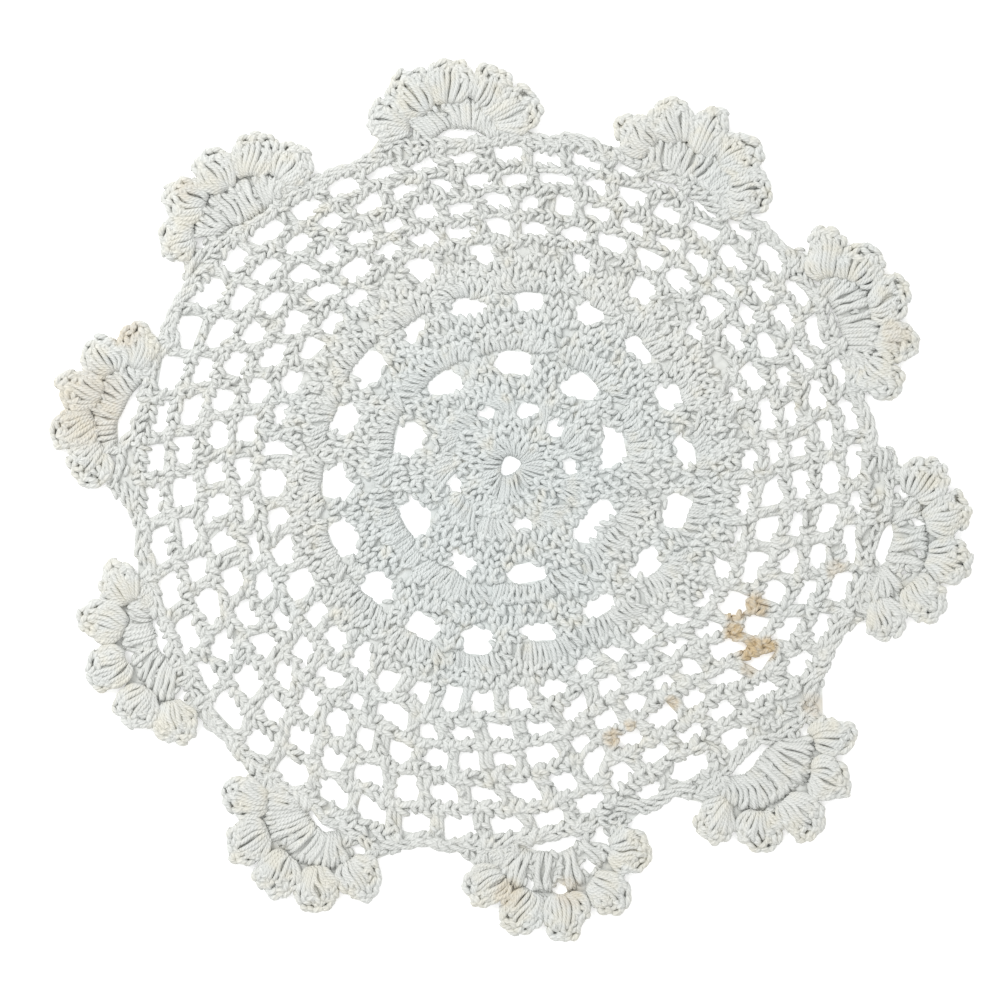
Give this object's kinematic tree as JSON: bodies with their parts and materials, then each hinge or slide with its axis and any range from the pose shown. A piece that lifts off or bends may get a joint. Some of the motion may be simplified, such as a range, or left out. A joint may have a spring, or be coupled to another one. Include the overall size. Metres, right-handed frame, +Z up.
{
  "type": "crocheted lace doily",
  "caption": "Round crocheted cotton lace mat with a rosette, arches, open net rounds and a scalloped edge of puffed petals.",
  "frame": {"origin": "centre of the bounding box at the underside of the mat", "axes": "+Z up out of the worked face of the mat, X and Y in its plane"},
  "size_m": [0.3061, 0.2926, 0.005],
  "materials": {
    "cotton": "matte off-white mercerised cotton thread"
  },
  "bodies": {
    "root": {"doily": "cotton"}
  },
  "joints": []
}
